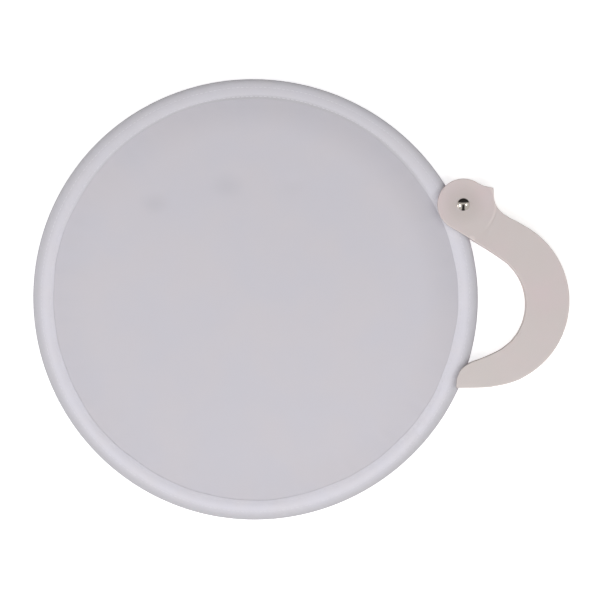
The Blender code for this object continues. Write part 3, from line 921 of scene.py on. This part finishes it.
class ShellBuilder:
    """Builds half of the handle as one closed mesh. Heights are outwards from the mid-plane."""

    def __init__(self, side):
        self.side = side
        self.edit = bmesh.new()

    def point(self, place, height):
        return self.edit.verts.new((place.x, place.y, self.side * height))

    def face(self, corners):
        """A face of the corners that differ, unless fewer than three do."""
        kept = [corner for i, corner in enumerate(corners) if corner not in corners[:i]]
        if len(kept) > 2:
            self.edit.faces.new(kept)

    def strip(self, first, second, closed):
        count = len(first)
        for i in range(count if closed else count - 1):
            k = (i + 1) % count
            self.face([first[i], first[k], second[k], second[i]])

    def flat(self, rings, lines=(), hole_radius=0.0):
        """Fills the area between closed rings of points. Lines are creases that run across it."""
        corners = []
        edges = []
        for chain, closed in [(ring, True) for ring in rings] + [(line, False) for line in lines]:
            places = [self.index_of(corner, corners) for corner in chain]
            edges += list(zip(places, places[1:] + places[:1] if closed else places[1:]))
        flat_places = [corner.co.xy for corner in corners]
        made = delaunay_2d_cdt(flat_places, edges, [], 1, 1e-9)
        sources = made[3]
        for triangle in made[2]:
            chosen = [corners[sources[k][0]] for k in triangle]
            middle = sum((corner.co.xy for corner in chosen), Vector((0.0, 0.0))) / 3
            if middle.length > hole_radius:
                self.face(chosen)

    def index_of(self, corner, corners):
        if corner not in corners:
            corners.append(corner)
        return corners.index(corner)

    def ring(self, radius, height, sides=64):
        angles = [TURN * i / sides for i in range(sides)]
        return [self.point(Vector((radius * cos(a), radius * sin(a))), height) for a in angles]

    def turned(self, profile):
        """A surface turned round the pivot. Returns its first and last rings."""
        rings = [self.ring(radius, height) for radius, height in profile]
        for first, second in zip(rings, rings[1:]):
            self.strip(first, second, True)
        return rings[0], rings[-1]

    def finished(self, name):
        bmesh.ops.recalc_face_normals(self.edit, faces=self.edit.faces)
        mesh = bpy.data.meshes.new(name)
        self.edit.to_mesh(mesh)
        self.edit.free()
        return mesh


def rounded_edge():
    """The outer face's rounded edge, as how far in and how far below the face each line of points lies."""
    turns = [pi / 2 * i / 6 for i in range(7)]
    return [(SUPPORT, 0.0)] + [(FILLET * (1 - sin(turn)), FILLET * (1 - cos(turn))) for turn in turns]


def head_bore(side):
    """The rivet's hole, the boss round it and the boss's wider base, as radius and height."""
    leaf = HALF - LEAF_THICKNESS
    face = HALF - HEAD_RECESS
    edge = SOFT_EDGE
    if side > 0:
        profile = [(HOLE_RADIUS + edge, face), (HOLE_RADIUS, face - edge)]
    else:
        floor = face - COUNTERBORE_DEPTH
        profile = [(COUNTERBORE_RADIUS + edge, face), (COUNTERBORE_RADIUS, face - edge)]
        profile += [(COUNTERBORE_RADIUS, floor), (HOLE_RADIUS, floor)]
    base = leaf - BOSS_BASE_HEIGHT
    profile += [(HOLE_RADIUS, BOSS_END + edge), (HOLE_RADIUS + edge, BOSS_END)]
    profile += [(BOSS_RADIUS - edge, BOSS_END), (BOSS_RADIUS, BOSS_END + edge)]
    profile += [(BOSS_RADIUS, base - edge), (BOSS_RADIUS + edge, base)]
    profile += [(BOSS_BASE_RADIUS - edge, base), (BOSS_BASE_RADIUS, base + edge)]
    profile += [(BOSS_BASE_RADIUS, leaf - 2 * edge), (BOSS_BASE_RADIUS + 2 * edge, leaf)]
    return profile


def side_lines(build, outline, leaf):
    """Lines of points round the outline: the rounded edge, and one near the bottom of the side."""
    inner = offset_left(outline, SUPPORT, closed=True)
    tops = [face_height(step_share(place)) for place in inner]
    lines = []
    for inset, drop in rounded_edge():
        places = offset_left(outline, inset, closed=True)
        lines.append([build.point(place, top - drop) for place, top in zip(places, tops)])
    lines.append([build.point(place, leaf + 2 * SOFT_EDGE) for place in outline])
    for first, second in zip(lines, lines[1:]):
        build.strip(first, second, True)
    return lines


def side_columns(build, outline, walled, wall_ends, leaf):
    """Below the lines each point ends at the leaf's inner face, goes on as the side wall, or both."""
    slightly_in = offset_left(outline, SOFT_EDGE * 0.3, closed=True)
    further_in = offset_left(outline, SOFT_EDGE * 1.6, closed=True)
    wall_in = offset_left(outline, SOFT_EDGE, closed=True)
    columns = []
    for i, place in enumerate(outline):
        if walled[i]:
            stop = build.point(place, leaf)
            low = build.point(place, PARTING_HALF + SOFT_EDGE)
            wall_part = [stop, low, build.point(wall_in[i], PARTING_HALF)]
            open_part = [stop, stop] if i in wall_ends else None
        else:
            wall_part = None
            bevel = build.point(slightly_in[i], leaf + 0.7 * SOFT_EDGE)
            open_part = [bevel, build.point(further_in[i], leaf)]
        columns.append((open_part, wall_part))
    return columns


def join_columns(build, bottom, columns, walled):
    """The faces of the side below its last line of points."""
    for i in range(len(columns)):
        k = (i + 1) % len(columns)
        part = 1 if walled[i] and walled[k] else 0
        first = [bottom[i], *columns[i][part]]
        second = [bottom[k], *columns[k][part]]
        for a, b, c, d in zip(first, first[1:], second[1:], second):
            build.face([a, b, c, d])


def wall_rows(build, start, end, leaf):
    """The side wall's inner face, between the columns at its two ends."""
    levels = [(WALL_THICKNESS - SOFT_EDGE, PARTING_HALF), (WALL_THICKNESS, PARTING_HALF + SOFT_EDGE)]
    levels += [(WALL_THICKNESS, leaf - 3 * SOFT_EDGE), (WALL_THICKNESS + SOFT_EDGE, leaf - SOFT_EDGE)]
    levels += [(WALL_THICKNESS + 3 * SOFT_EDGE, leaf)]
    rows = []
    for number, (inset, height) in enumerate(levels):
        row = [build.point(place, height) for place in offset_left(walled_edge(), inset)]
        part = max(2 - number, 0)
        rows.append([start[part], *row, end[part]])
    for first, second in zip(rows, rows[1:]):
        build.strip(first, second, False)
    return rows


def shell_mesh(name, side):
    """Half of the handle: its outer side, the wall's inner side, the pivot's bore and the flat faces."""
    build = ShellBuilder(side)
    outline, walled = handle_outline()
    leaf = HALF - LEAF_THICKNESS
    last = walled.index(False) - 1
    lines = side_lines(build, outline, leaf)
    columns = side_columns(build, outline, walled, (0, last), leaf)
    join_columns(build, lines[-1], columns, walled)
    rows = wall_rows(build, columns[0][1], columns[last][1], leaf)

    # The wall's foot, then the leaf's inner face and its outer face
    foot = [wall_part[2] for _, wall_part in columns[:last + 1]] + list(reversed(rows[0][1:-1]))
    build.flat([foot])
    top_ring, base_ring = build.turned(head_bore(side))
    opened = [open_part[1] for open_part, _ in columns[last:]] + rows[-1][:-1]
    build.flat([opened, base_ring], hole_radius=base_ring[0].co.xy.length * 0.999)
    build.flat([lines[0], top_ring], ramp_lines(build, lines[0]), top_ring[0].co.xy.length * 0.999)
    return build.finished(name)


def ramp_lines(build, flat_edge):
    """The creases of the step round the head, each from one side of the arm to the other."""
    lines = []
    for level in RAMP_LEVELS:
        ends = [corner for corner in flat_edge if abs(step_share(corner.co.xy) - level) < 0.06]
        ends = sorted(ends, key=lambda corner: atan2(corner.co.y, corner.co.x))
        low, high = ends[0], ends[-1]
        start = atan2(low.co.y, low.co.x)
        end = atan2(high.co.y, high.co.x)
        steps = 40
        angles = [start + (end - start) * i / steps for i in range(1, steps)]
        radii = [RAMP_START + level * ramp_width(a) for a in angles]
        between = [Vector((radius * cos(a), radius * sin(a))) for radius, a in zip(radii, angles)]
        lines.append([low] + [build.point(place, face_height(level)) for place in between] + [high])
    return lines


def make_shell(name, side, node, plastic):
    shell = add_object(name, shell_mesh(name, side), PIVOT, plastic, "handle")
    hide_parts(node)
    return shell


def cap_profile():
    """The domed cap with its rolled edge, and the hollow shank below it, as radius and height."""
    radius = (RIVET_HEAD_RADIUS**2 + CAP_HEIGHT**2) / (2 * CAP_HEIGHT)
    centre = CAP_TOP - radius
    widest = acos((CAP_BASE + 0.28 * MM - centre) / radius)
    dome = [widest * i / 18 for i in range(19)]
    places = [(radius * sin(a), centre + radius * cos(a)) for a in dome]
    rolled = ((3.46 * MM, 0.14 * MM), (3.36 * MM, 0.03 * MM), (3.2 * MM, 0.0))
    places += [(far, CAP_BASE + height) for far, height in rolled]
    shank_end = 2.0 * MM - (HALF - HEAD_RECESS)
    places += [(SHANK_RADIUS + 0.1 * MM, CAP_BASE), (SHANK_RADIUS, CAP_BASE - 0.1 * MM)]
    places += [(SHANK_RADIUS, shank_end + SOFT_EDGE), (SHANK_RADIUS - SOFT_EDGE, shank_end)]
    places += [(SHANK_BORE_RADIUS, shank_end), (SHANK_BORE_RADIUS, SHANK_BORE_END), (0.0, SHANK_BORE_END)]
    return [Vector(place) for place in places]


def post_profile():
    """The post's pin and its flat, softly dished head, as radius and height."""
    head_top = COUNTERBORE_DEPTH - (HALF - HEAD_RECESS) - 0.3 * MM
    pin_top = SHANK_BORE_END - 0.7 * MM
    places = [(0.0, pin_top), (PIN_RADIUS * 0.7, pin_top)]
    places += [(PIN_RADIUS, pin_top - 0.25 * MM), (PIN_RADIUS, head_top)]
    places += [(RIVET_HEAD_RADIUS - 0.12 * MM, head_top), (RIVET_HEAD_RADIUS, head_top - 0.12 * MM)]
    soft = 0.42 * MM
    for turn in [pi / 2 * i / 6 for i in range(7)]:
        places.append((RIVET_HEAD_RADIUS - soft * (1 - cos(turn)), POST_BOTTOM + soft * (1 - sin(turn))))
    dish = ((1.9 * MM, 0.02 * MM), (1.3 * MM, 0.10 * MM), (0.7 * MM, 0.16 * MM), (0.0, 0.18 * MM))
    places += [(far, POST_BOTTOM + height) for far, height in dish]
    return [Vector(place) for place in places]


def make_rivet(metal):
    """A domed cap on the front and a flat post on the back."""
    halves = (("domed_cap", cap_profile(), "rivet_cap"), ("flat_post", post_profile(), "rivet_post"))
    for name, profile, node in halves:
        piece = add_object(name, lathe_mesh(name, profile), PIVOT, metal, "handle")
        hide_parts(node)


def finish_cad_nodes():
    """The wire, its ferrule and the eyelet keep their CAD shapes and get detailed metal."""
    steel = polished_metal("hoop_steel", STEEL, STEEL_DULL, 0.25, 0.42, 0.12 * MM)
    brass = polished_metal("ferrule_brass", BRASS, BRASS_DULL, 0.28, 0.45, 0.10 * MM)
    nickel = polished_metal("eyelet_nickel", NICKEL, NICKEL_DULL, 0.2, 0.36, 0.10 * MM)
    for node, metal in (("spring_hoop", steel), ("hoop_ferrule", brass), ("tab_eyelet", nickel)):
        mesh = frame["nodes"][node].data
        if not mesh.materials:
            mesh.materials.append(metal)
        for i in range(len(mesh.materials)):
            mesh.materials[i] = metal


# Stage


def add_light(name, place, size, power, tint):
    light = bpy.data.lights.new(name, "AREA")
    light.shape = "DISK"
    light.size = size
    light.energy = power
    light.color = tint
    lamp = new_object(name, light)
    lamp.location = place
    lamp.rotation_euler = (DISC_CENTRE - Vector(place)).to_track_quat("-Z", "Y").to_euler()
    lamp.visible_camera = False
    return lamp


def make_floor():
    mesh = mesh_from("floor", [(-3, -3, 0), (3, -3, 0), (3, 3, 0), (-3, 3, 0)], [(0, 1, 2, 3)])
    floor = new_object("floor", mesh)
    floor.location.z = cad_bounds[0].z - 0.2 * MM
    shader = Shader("floor_white")
    shader.fixed(Base_Color=colour(0.9, 0.9, 0.9), Roughness=0.9, Specular_IOR_Level=0.1)
    shader.fixed(Emission_Color=colour(1, 1, 1), Emission_Strength=0.5)
    mesh.materials.append(shader.material)


def make_world():
    """Pale surroundings, dark at the far wall and where a person would stand, as the rivet shows."""
    world = bpy.data.worlds.new("studio")
    world.use_nodes = True
    bpy.context.scene.world = world
    tree = world.node_tree
    background = tree.nodes["Background"]
    split = tree.nodes.new("ShaderNodeSeparateXYZ")
    tree.links.new(tree.nodes.new("ShaderNodeTexCoord").outputs["Generated"], split.inputs[0])

    def falls(value, start, end):
        made = tree.nodes.new("ShaderNodeMapRange")
        made.interpolation_type = "SMOOTHSTEP"
        tree.links.new(value, made.inputs["Value"])
        for key, number in (("From Min", start), ("From Max", end), ("To Min", 1.0), ("To Max", 0.0)):
            made.inputs[key].default_value = number
        return made.outputs["Result"]

    def combined(operation, first, second):
        made = tree.nodes.new("ShaderNodeMath")
        made.operation = operation
        for socket, value in zip(made.inputs, (first, second)):
            if isinstance(value, bpy.types.NodeSocket):
                tree.links.new(value, socket)
            else:
                socket.default_value = value
        return made.outputs[0]

    sideways = combined("ABSOLUTE", split.outputs["X"], 0.0)
    far_wall = falls(split.outputs["Y"], 0.55, 0.25)
    person = combined("MULTIPLY", falls(sideways, 0.18, 0.40), falls(split.outputs["Y"], -0.05, 0.12))
    dark = combined("MAXIMUM", far_wall, person)
    light = combined("SUBTRACT", WORLD_LIGHT, combined("MULTIPLY", dark, WORLD_LIGHT * 0.95))
    tree.links.new(light, background.inputs["Strength"])
    background.inputs["Color"].default_value = colour(1.0, 0.985, 0.97)


def make_camera():
    camera = bpy.data.cameras.new("camera")
    camera.lens = camera.sensor_width * CAMERA_HEIGHT / VIEW_WIDTH
    camera.clip_end = 20
    holder = new_object("camera", camera)
    holder.location = VIEW_OFFSET + Vector((0.0, 0.0, DISC_CENTRE.z + CAMERA_HEIGHT))
    bpy.context.scene.camera = holder


def make_stage():
    make_floor()
    make_world()
    make_camera()
    add_light("softbox_left", (-0.90, -0.22, 0.86), 0.6, 3.3, (1.0, 1.0, 1.0))
    add_light("softbox_right", (0.92, 0.02, 1.00), 0.5, 1.3, (1.0, 0.99, 0.98))
    overhead = add_light("softbox_overhead", (0.12, -0.30, 0.80), 1.1, 4.1, (1.0, 1.0, 1.0))
    overhead.visible_glossy = False
    bpy.context.scene.view_settings.view_transform = "Standard"


def make_object():
    thread = thread_twist()
    plastic = milky_plastic()
    chrome = polished_metal("rivet_chrome", CHROME, CHROME_DULL, 0.08, 0.16, 0.08 * MM)
    panel = make_panel()
    binding = make_binding()
    stitching = make_edge_stitching(thread)
    tab = make_tab()
    tacks = make_tab_stitching(thread)
    make_shell("front_shell", 1, "handle_front_shell", plastic)
    make_shell("back_shell", -1, "handle_back_shell", plastic)
    make_rivet(chrome)
    finish_cad_nodes()


make_stage()
make_object()
